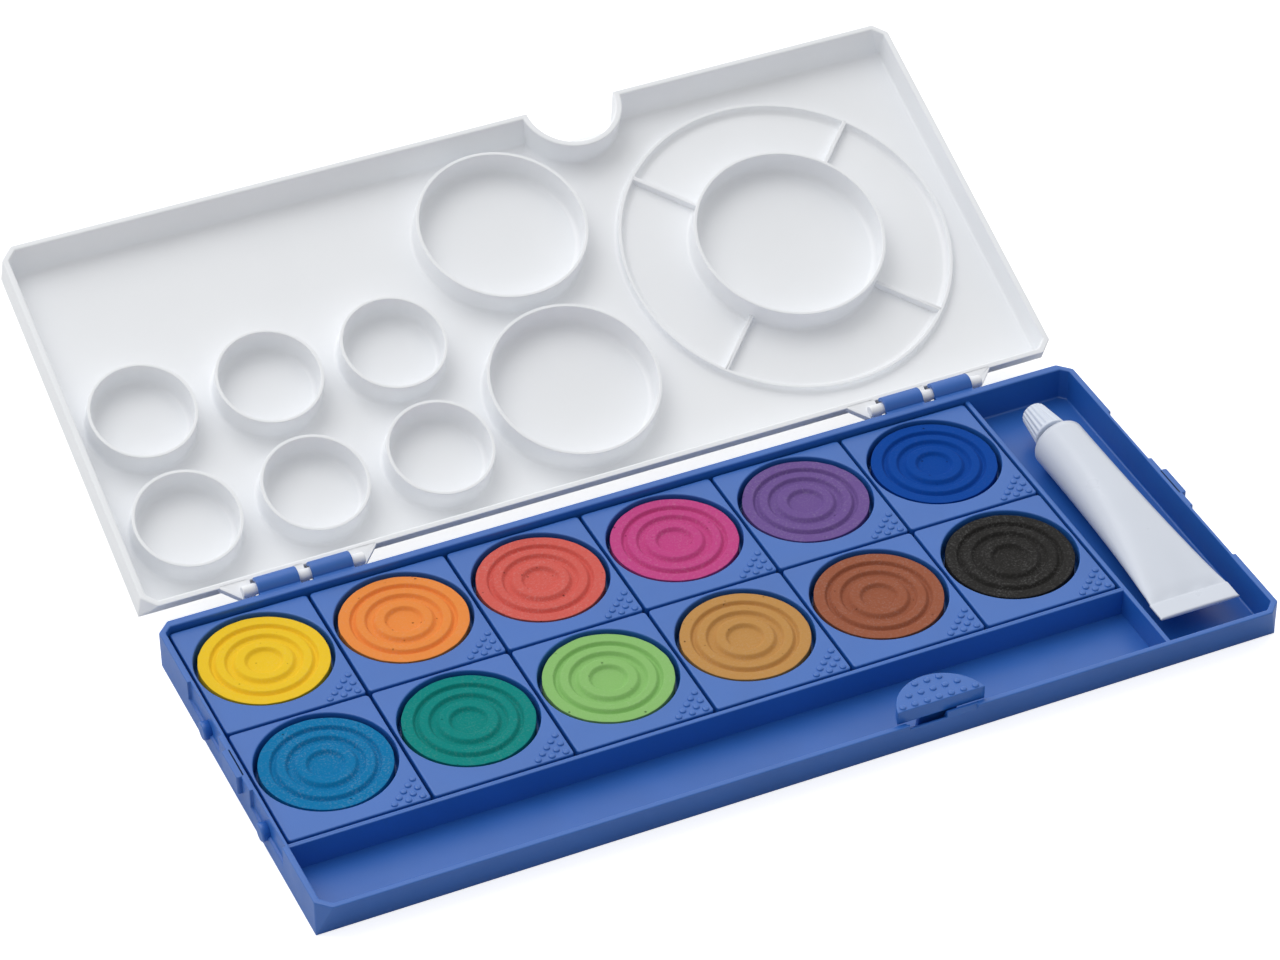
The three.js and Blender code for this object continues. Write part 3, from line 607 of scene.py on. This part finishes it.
def lid_loop(inset, w, shelf):
    """The lid's wall at height w, as tray_loop gives the tray's. Both long walls lean."""
    drop = -w / LID_HEIGHT
    fronts, ends = np.linspace(-108, 108, 14), np.linspace(8, 94, 6)
    outer_leg = max(CORNER * (1 - drop), LEAST_LEG)
    inner_leg = max((CORNER + WALL * np.sqrt(2) - 2 * WALL) * (1 - drop), LEAST_LEG)
    back = LID_DEEP - CORNER * drop
    outer = trough_outline(TRAY_HALF, CORNER * drop, back, outer_leg, outer_leg, fronts, ends,
                           notched_line(back, NOTCH_RADIUS, shelf))
    inner = trough_outline(TRAY_HALF - WALL, WALL + CORNER * drop, back - WALL, inner_leg, inner_leg,
                           fronts, ends, notched_line(back - WALL, NOTCH_RADIUS + NOTCH_WALL, 0))
    return points_of(*(outer + (inner - outer) * inset / WALL).T, w)


def lid_shell():
    """The lid's profile carried round its outline: roof, outer face, rim, inner face, palette floor.

    In the thumb notch the roof reaches in to a shelf, so the loops below the palette floor follow it.
    """
    roof = eased([(2.5, -LID_HEIGHT), (0, -LID_HEIGHT), (0, LID_FLOOR - 0.05)], [0, 0.5, 0], 6)
    face = np.vstack([
        eased([(0, LID_FLOOR), (0, 0), (WALL, 0), (WALL, -4.0)], [0, LID_EDGE, LID_EDGE, 0], 6),
        eased([(WALL, -5.0), (WALL, LID_FLOOR), (WALL + 1.6, LID_FLOOR)], [0, 0.9, 0], 6)])
    rows = [lid_loop(inset, w, NOTCH_SHELF) for inset, w in roof] + [lid_loop(0, LID_FLOOR, NOTCH_SHELF)]
    rows += [lid_loop(inset, w, 0) for inset, w in face]
    return closed_skin(np.stack(rows), (TAB_X, LID_DEEP / 2, -LID_HEIGHT), (TAB_X, LID_DEEP / 2, LID_FLOOR))


def turned_ring(x, v, radius, top, columns):
    """A round wall on the palette floor, its profile turned about the well's middle.

    The profile goes once round itself, with a rolled rim and a soft foot on each side. The foot lies a hair
    below the floor, so that the two don't share a plane.
    """
    inner, foot = radius - WELL_WALL, LID_FLOOR - 0.03
    sunk, bowl = foot - FLOOR_LAP, min(BOWL_FOOT, top - foot)
    profile = eased([(radius + WELL_FOOT, foot), (radius, foot), (radius, top), (inner, top),
                     (inner - WELL_DRAFT, foot), (inner - BOWL_FOOT, foot), (inner - BOWL_FOOT, sunk),
                     (radius + WELL_FOOT, sunk)],
                    [0.05, 1.2, 0.22, 0.22, bowl * 0.85, 0.05, 0.05, 0.05], 9, True)
    turn = np.linspace(0, 2 * np.pi, columns, endpoint=False)
    r, w = profile[:, :1], profile[:, 1:]
    points = points_of(x + r * np.cos(turn), v + r * np.sin(turn), w)
    row, column = np.indices(points.shape[:2])
    below, aside = (row + 1) % len(profile), (column + 1) % columns
    faces = np.stack([row * columns + column, row * columns + aside, below * columns + aside,
                      below * columns + column], -1)
    return points.reshape(-1, 3), faces.reshape(-1, 4).tolist()


def spoke(turn):
    """A low wall from the centre well to the ring, turned about the well's middle."""
    points, faces = block((SPOKE_ENDS[0], -SPOKE_WALL / 2, LID_FLOOR - FLOOR_LAP),
                          (SPOKE_ENDS[1], SPOKE_WALL / 2, RING_TOP), SPOKE_EDGE, SPOKE_CORNER)
    x, v, w = points.T
    return points_of(CENTRE_WELL[0] + x * np.cos(turn) - v * np.sin(turn),
                     CENTRE_WELL[1] + x * np.sin(turn) + v * np.cos(turn), w), faces


def clip(centre):
    """A flared plate in three fingers on the lid's edge, each with a saddle that holds the hinge rod."""
    outline = np.array([(CLIP_GAP_END, -CLIP_REACH), (CLIP_NARROW_HALF, -CLIP_REACH), (CLIP_HALF, 0),
                        (CLIP_HALF, CLIP_LAP), (CLIP_GAP_END, CLIP_LAP)])
    end_finger = prism(eased(outline, CLIP_CORNER, 6, True), -CLIP_THICKNESS, 0, CLIP_EDGE)
    middle_finger = block((-CLIP_MIDDLE_HALF, -CLIP_REACH, -CLIP_THICKNESS),
                          (CLIP_MIDDLE_HALF, CLIP_LAP, 0), CLIP_EDGE, CLIP_CORNER)
    end_saddle, middle_saddle = (block((low, -LID_SETBACK - ROD_RADIUS, -CLIP_THICKNESS + 0.3),
                                       (high, -LID_SETBACK + ROD_RADIUS, LID_RIM_RISE), SADDLE_EDGE)
                                 for low, high in ((CLIP_GAP_END, SADDLE_HALF),
                                                   (-CLIP_MIDDLE_HALF, CLIP_MIDDLE_HALF)))
    turn = np.linspace(0, 2 * np.pi, 32, endpoint=False)
    ends = eased([(-ROD_HALF, 0.5), (-ROD_HALF, ROD_RADIUS), (ROD_HALF, ROD_RADIUS), (ROD_HALF, 0.5)], 0.3, 5)
    x, radius = ends[:, :1], ends[:, 1:]
    rod = closed_skin(points_of(x, -LID_SETBACK + radius * np.cos(turn),
                                LID_RIM_RISE + radius * np.sin(turn)))
    skins = [end_finger, middle_finger, mirrored(end_finger), mirrored(end_saddle), middle_saddle,
             end_saddle, rod]
    return [moved(skin, (centre, 0, 0)) for skin in skins]


white_plastic = plastic("white_plastic", WHITE, 0.012, 0.42, 0.2)
wells = [turned_ring(x, v, SMALL_WELL_RADIUS, WELL_TOP, 80) for x, v in SMALL_WELLS]
wells += [turned_ring(x, v, MEDIUM_WELL_RADIUS, WELL_TOP, 112) for x, v in MEDIUM_WELLS]
wells += [turned_ring(*CENTRE_WELL, CENTRE_WELL_RADIUS, WELL_TOP, 120),
          turned_ring(*CENTRE_WELL, RING_RADIUS, RING_TOP, 160)]
spokes = [spoke(np.radians(turn)) for turn in (45, 135, 225, 315)]
lid_skins = [lid_shell(), *wells, *spokes, *clip(CLIP_X[0]), *clip(CLIP_X[1])]
finish_piece(skins_mesh(*map(hung, lid_skins)), "lid_moulding", white_plastic, "lid_plastic", "lid", "lid")

# Pans
# Twelve square pans drop into the tray in two rows. Each is a thin blue moulding with a round cup, rolled
# edges, and nine grip domes in its near right corner where a finger lifts it.
PAN_COLOURS = ("yellow", "orange", "vermilion", "magenta", "violet", "ultramarine",
               "cyan", "blue_green", "yellow_green", "ochre", "brown", "black")
PAN_FIRST = (-98.425, 29.725)
PAN_PITCH = (33.9, 37.9)
PAN_HALF = (16.575, 18.575)
PAN_BOTTOM = 1.35
PAN_HOLLOW = 0.8
PAN_TOP = 8.3
PAN_CORNER = 0.9
PAN_EDGE = 0.4
CUP_RADIUS = 16.0
CUP_FLOOR = 3.1
CUP_MIDDLE = 1.9
PAN_DOME_FIRST = (15.0, -11.4)
PAN_DOME_STEP = (-1.655, -1.487)


def pan_skin(x, y):
    """A pan as one skin whose loops change from its square outline to its round cup.

    A row of the outside is the outline drawn in by an inset, and a row of the cup is a circle about its
    middle, with its points on the rays to the outline's. Both meet the flat top by rolled edges, which
    shrink together where the land between the outline and the cup is narrow.
    """
    corners = eased(UNIT_SQUARE * PAN_HALF, PAN_CORNER, 5, True)
    loop = np.vstack([corners, corners[:1]])
    run = np.append(0, np.cumsum(np.linalg.norm(np.diff(loop, axis=0), axis=1)))
    even = np.linspace(0, run[-1], 120, endpoint=False)
    stations = np.unique(np.round(np.append(run[:-1], even), 2))
    square = points_of(*(np.interp(stations, run, side) for side in loop.T))
    ray = square - (0, CUP_MIDDLE)
    away = np.linalg.norm(ray, axis=1)[:, None]
    ray /= away
    inwards = -square / np.array(PAN_HALF)
    room = np.minimum(1, 0.45 * (away - CUP_RADIUS) / PAN_EDGE)
    under = eased([(3.0, PAN_BOTTOM + PAN_HOLLOW), (1.2, PAN_BOTTOM + PAN_HOLLOW), (1.0, PAN_BOTTOM),
                   (0.0, PAN_BOTTOM), (0.0, PAN_TOP - 1)], [0, 0.2, 0.2, 0.2, 0], 5)
    roll = eased([(0, -PAN_EDGE), (0, 0), (PAN_EDGE, 0)], [0, PAN_EDGE, 0], 7)[1:-1]
    cup = eased([(CUP_RADIUS, PAN_TOP - 1), (CUP_RADIUS, CUP_FLOOR), (4.0, CUP_FLOOR)], [0, 0.9, 0], 6)
    rows = [points_of(*(square + inwards * inset).T, z) for inset, z in under]
    rows += [np.hstack([square + inwards * inset * room, PAN_TOP + dip * room]) for inset, dip in roll]
    rows += [np.hstack([ray * (CUP_RADIUS + inset * room) + (0, CUP_MIDDLE), PAN_TOP + dip * room])
             for inset, dip in roll[::-1]]
    rows += [points_of(*(ray * radius + (0, CUP_MIDDLE)).T, z) for radius, z in cup]
    return closed_skin(np.stack(rows) + (x, y, 0))


def pan_domes(x, y):
    """Nine domes on a staggered grid whose rows grow shorter towards the pan's corner."""
    return [dome(x + PAN_DOME_FIRST[0] + across * PAN_DOME_STEP[0],
                 y + PAN_DOME_FIRST[1] + down * PAN_DOME_STEP[1], PAN_TOP)
            for across in range(5) for down in range(across, 5, 2)]


pan_places = [(PAN_FIRST[0] + index % 6 * PAN_PITCH[0], PAN_FIRST[1] - index // 6 * PAN_PITCH[1])
              for index in range(12)]
for colour, (x, y) in zip(PAN_COLOURS, pan_places):
    finish_piece(skins_mesh(pan_skin(x, y), *pan_domes(x, y)), f"cup_{colour}", blue_plastic,
                 "tray_plastic", f"pan_{colour}", f"pan_{colour}")

# Tablets of paint
# Each pan holds a cake of pigment pressed under a die, with two grooves round a shallow dimple. Its face
# is matt and grainy, with pits where grains have pulled out, their colour darkened as painted shade, and
# small chips along its rim.
CAKE_RADIUS = 14.95
CAKE_BOTTOM = 3.15
CAKE_TOP = 7.75
CAKE_FLAT = 0.985
CHIPS = 0.03
RELIEF = 0.85
GROOVES = ((0.71, 0.775, 0.79, 0.84), (0.42, 0.50, 0.55, 0.61))
DIMPLE = (0.24, 0.31)
CAKE_LOOKS = {
    "yellow": ((240, 199, 42), 0.2), "orange": ((236, 142, 68), 0.3), "vermilion": ((212, 95, 86), 0.5),
    "magenta": ((195, 70, 134), 0.4), "violet": ((111, 84, 148), 0.35), "ultramarine": ((0, 68, 157), 0.05),
    "cyan": ((2, 116, 170), 0.4), "blue_green": ((4, 132, 126), 0.2), "yellow_green": ((140, 191, 112), 0.25),
    "ochre": ((192, 142, 80), 0.3), "brown": ((153, 89, 64), 0.35), "black": ((40, 39, 38), 0.3)}


def cake_skin(x, y, seed):
    """A pressed cake turned round its middle. At a share of the radius its height is the flat top less the
    relief: all of it between the inner two of a groove's four shares, and none beyond its outer two.
    A little smooth noise round the rim stands for its chips.
    """
    share = np.linspace(CAKE_FLAT, 0.02, 130)
    height = np.full(share.shape, CAKE_TOP)
    for inner_high, inner_low, outer_low, outer_high in GROOVES:
        inside = 1 - smooth_step(outer_low, outer_high, share)
        height -= RELIEF * smooth_step(inner_high, inner_low, share) * inside
    height -= RELIEF * (1 - smooth_step(*DIMPLE, share))
    edge = eased([(0.9, CAKE_BOTTOM), (1.0, CAKE_BOTTOM), (1.0, CAKE_TOP - 0.05), (CAKE_FLAT, CAKE_TOP)],
                 [0, 0.02, 0.02, 0], 5)[:-1]
    profile = np.vstack([edge, points_of(share, height)])
    turn = np.linspace(0, 2 * np.pi, 120, endpoint=False)
    random = np.random.default_rng(seed)
    waves = sum(random.normal(0, CHIPS / np.sqrt(order)) * np.cos(order * turn + random.uniform(0, 2 * np.pi))
                for order in range(2, 30))
    radius = profile[:, :1] * (CAKE_RADIUS + waves[None] * smooth_step(0.9, 1.0, profile[:, :1]))
    return closed_skin(points_of(x + radius * np.cos(turn), y + CUP_MIDDLE + radius * np.sin(turn),
                                 profile[:, 1:]))


# Pressed pigment: cloudy colour, fine grains, pale dust and pits darkened as painted shade, with a bump
# from the same patterns
pressed, given = effect_group("pressed_pigment", {"Colour": "Color", "Dust": "Color", "Pit shade": "Color",
                                                  "Dusty": "Float"})
place = add_signal(pressed, "ShaderNodeTexCoord", output="Object")
grains = add_signal(pressed, "ShaderNodeTexNoise", {"Vector": place, "Scale": 1900.0, "Detail": 3.0,
                                                    "Roughness": 0.7}, "Fac")
clouds = add_signal(pressed, "ShaderNodeTexNoise", {"Vector": place, "Scale": 180.0, "Detail": 4.0}, "Fac")
crumbs = add_signal(pressed, "ShaderNodeTexVoronoi", {"Vector": place, "Scale": 750.0}, "Distance")
chance = add_signal(pressed, "ShaderNodeTexNoise", {"Vector": place, "Scale": 420.0, "Detail": 1.0}, "Fac")
dusted = add_signal(pressed, "ShaderNodeMapRange", {"Value": grains, "From Min": 0.5, "From Max": 0.68})
patchy = add_signal(pressed, "ShaderNodeMapRange", {"Value": clouds, "From Min": 0.35, "From Max": 0.65,
                                                    "To Min": 0.35, "To Max": 1.0})
dust_share = add_signal(pressed, "ShaderNodeMath", {0: dusted, 1: patchy}, operation="MULTIPLY")
dust_here = add_signal(pressed, "ShaderNodeMath", {0: dust_share, 1: given["Dusty"]}, operation="MULTIPLY")
pit_shape = add_signal(pressed, "ShaderNodeMapRange", {"Value": crumbs, "From Min": 0.28, "From Max": 0.12})
pit_chance = add_signal(pressed, "ShaderNodeMapRange", {"Value": chance, "From Min": 0.66, "From Max": 0.72})
pit = add_signal(pressed, "ShaderNodeMath", {0: pit_shape, 1: pit_chance}, operation="MULTIPLY")
dusty = add_signal(pressed, "ShaderNodeMix", {"Factor": dust_here, 6: given["Colour"], 7: given["Dust"]}, 2,
                   data_type="RGBA")
# Painted shade: the pits take a darkened colour for the shade inside them
pit_shaded = add_signal(pressed, "ShaderNodeMix", {"Factor": pit, 6: dusty, 7: given["Pit shade"]}, 2,
                    data_type="RGBA")
coarse = add_signal(pressed, "ShaderNodeMath", {0: clouds, 1: 0.6, 2: grains}, operation="MULTIPLY_ADD")
surface = add_signal(pressed, "ShaderNodeMath", {0: pit, 1: -1.5, 2: coarse}, operation="MULTIPLY_ADD")
gritty = add_signal(pressed, "ShaderNodeBump", {"Strength": 0.8, "Distance": 0.00012, "Height": surface})
matt = add_signal(pressed, "ShaderNodeMapRange", {"Value": grains, "To Min": 0.78, "To Max": 0.95})
add_node(pressed, "NodeGroupOutput", {"Colour": pit_shaded, "Roughness": matt, "Normal": gritty})


def pigment(name, colour, dusty):
    """A pressed pigment of one colour. Its dust is the colour paled, and its pits the colour darkened as
    painted shade.
    """
    base = np.array(linear(*colour))
    paled = base * 0.7 + np.array((0.22, 0.22, 0.22, 0.3))
    # The pits' colour, darkened as painted shade
    pit_shade = base * (0.35, 0.35, 0.35, 1)
    return grouped_material(name, pressed, {"Colour": base, "Dust": paled, "Pit shade": pit_shade,
                                            "Dusty": dusty}, 0.15)


for seed, (colour, (x, y)) in enumerate(zip(PAN_COLOURS, pan_places)):
    paint = pigment(f"paint_{colour}", *CAKE_LOOKS[colour])
    finish_piece(skins_mesh(cake_skin(x, y, seed)), f"cake_{colour}", paint, f"paint_{colour}",
                 f"pan_{colour}", f"tablet_{colour}")

# Tube of white
# A soft aluminium tube in white lacquer lies in the bay on the right. It is round at its shoulder,
# flattens towards the fold that closes it, and is left without print.
TUBE_PLACE = (101.4, 28.5, 8.0)
TUBE_RADIUS = 6.6
TUBE_SHOULDER = 3.0
TUBE_LENGTH = 64.4
FOLD_HALF = 0.55
FOLD_ROWS = np.array([(0.15, 0.95), (0.35, 1.0), (1.2, 1.0), (2.4, 0.98), (3.6, 0.98), (4.7, 1.0),
                      (5.0, 0.95), (5.2, 0.6)])
NECK_RADIUS = 2.4
NECK_LENGTH = 6.0
LACQUER = (215, 221, 232)


def tube_skin():
    """The tube's section at a share t of its length, by angle a round it.

    Half its thickness is h = fold + (radius - fold)(1 - t^2). Half its width is h plus what the same girth
    leaves for its flat middle, pi (radius - h) / 2, shared out by the sine of a quarter turn times cos a.
    Towards the fold the section squares off, and shallow creases run lengthwise into it. Each row of the
    fold is how far past the tube's length it lies, and its share of the fold's half thickness.
    """
    turn = np.linspace(0, 2 * np.pi, 96, endpoint=False) + np.pi / 96
    along = np.concatenate([np.linspace(0, 0.9, 40), np.linspace(0.91, 1, 14)])
    half = FOLD_HALF + (TUBE_RADIUS - FOLD_HALF) * (1 - along**2)
    half -= 0.2 * smooth_step(0.93, 1.0, along)
    y = -TUBE_SHOULDER - along * (TUBE_LENGTH - TUBE_SHOULDER)
    half = np.append(half, FOLD_HALF * FOLD_ROWS[:, 1])[:, None]
    y = np.append(y, -TUBE_LENGTH - FOLD_ROWS[:, 0])[:, None]
    along = np.append(along, np.ones(len(FOLD_ROWS)))[:, None]
    flat = np.pi * (TUBE_RADIUS - np.minimum(half, TUBE_RADIUS)) / 2
    flat += 0.3 * smooth_step(0.995, 1.0, along) - 0.2 * smooth_step(0.9, 0.98, along)
    across = half * np.cos(turn) + flat * (np.sin(np.pi / 2 * np.cos(turn)) + np.cos(turn)) / 2
    square = 1 - 0.6 * smooth_step(0.9, 1.0, along)
    lift = np.sign(np.sin(turn)) * np.abs(np.sin(turn)) ** square
    creased = smooth_step(0.72, 0.95, along) * (1 - smooth_step(0.97, 1.0, along))
    crease = 0.12 * creased * np.cos(across * 0.9 + 0.8)
    body = points_of(across, y, half * lift + crease * np.sin(turn))
    shoulder = eased([(NECK_RADIUS - 0.6, NECK_LENGTH), (NECK_RADIUS, NECK_LENGTH), (NECK_RADIUS, 0.0),
                      (3.6, -0.2), (TUBE_RADIUS, -TUBE_SHOULDER)], [0, 0.3, 0.3, 0.4, 0], 5)[:-1]
    radius, neck_y = shoulder[:, :1], shoulder[:, 1:]
    neck = points_of(radius * np.cos(turn), neck_y, radius * np.sin(turn))
    return closed_skin(np.concatenate([neck, body]) + TUBE_PLACE)


lacquer = plastic("tube_lacquer", LACQUER, 0.015, 0.3, 0.08)
finish_piece(skins_mesh(tube_skin()), "tube_skin", lacquer, "tube_lacquer", "tube", "tube_body")

# Screw cap
# A tapered cap of white polyethylene with twenty soft ribs, turned on the tube's neck. It is bored for
# the neck and its outer end is rolled over.
CAP_RADIUS = 4.4
CAP_END_RADIUS = 3.15
CAP_LENGTH = 9.9
CAP_BORE = 2.7
CAP_BORE_END = 6.3
CAP_FOOT = 0.3
CAP_RIB = 0.24
CAP_RIBS = 20
CAP_WHITE = (216, 224, 238)


def cap_skin():
    """The cap's profile turned round the neck's axis, its outer wall drawn in between the ribs by
    rib (1 - cos(ribs a)) / 2 at the angle a, and less towards its two ends."""
    profile = eased([(0.4, CAP_BORE_END), (CAP_BORE, CAP_BORE_END), (CAP_BORE, CAP_FOOT),
                     (CAP_RADIUS, CAP_FOOT), (CAP_RADIUS - 0.12, 1.3), (CAP_END_RADIUS, CAP_LENGTH),
                     (0.5, CAP_LENGTH)], [0, 0.3, 0.2, 0.25, 0.3, 0.6, 0], 7)
    turn = np.linspace(0, 2 * np.pi, CAP_RIBS * 8, endpoint=False)
    radius, y = profile[:, :1], profile[:, 1:]
    wall = smooth_step(CAP_FOOT + 0.2, CAP_FOOT + 1.0, y) * (1 - smooth_step(CAP_LENGTH - 0.5, CAP_LENGTH, y))
    wall = wall * smooth_step(CAP_BORE + 0.1, CAP_BORE + 0.3, radius)
    drawn = radius - CAP_RIB * wall * (1 - np.cos(CAP_RIBS * turn)) / 2
    return closed_skin(points_of(drawn * np.cos(turn), y, -drawn * np.sin(turn)) + TUBE_PLACE)


cap_plastic = plastic("cap_plastic", CAP_WHITE, 0.01, 0.4, 0.15)
finish_piece(skins_mesh(cap_skin()), "ribbed_cap", cap_plastic, "cap_plastic", "cap", "tube_cap")
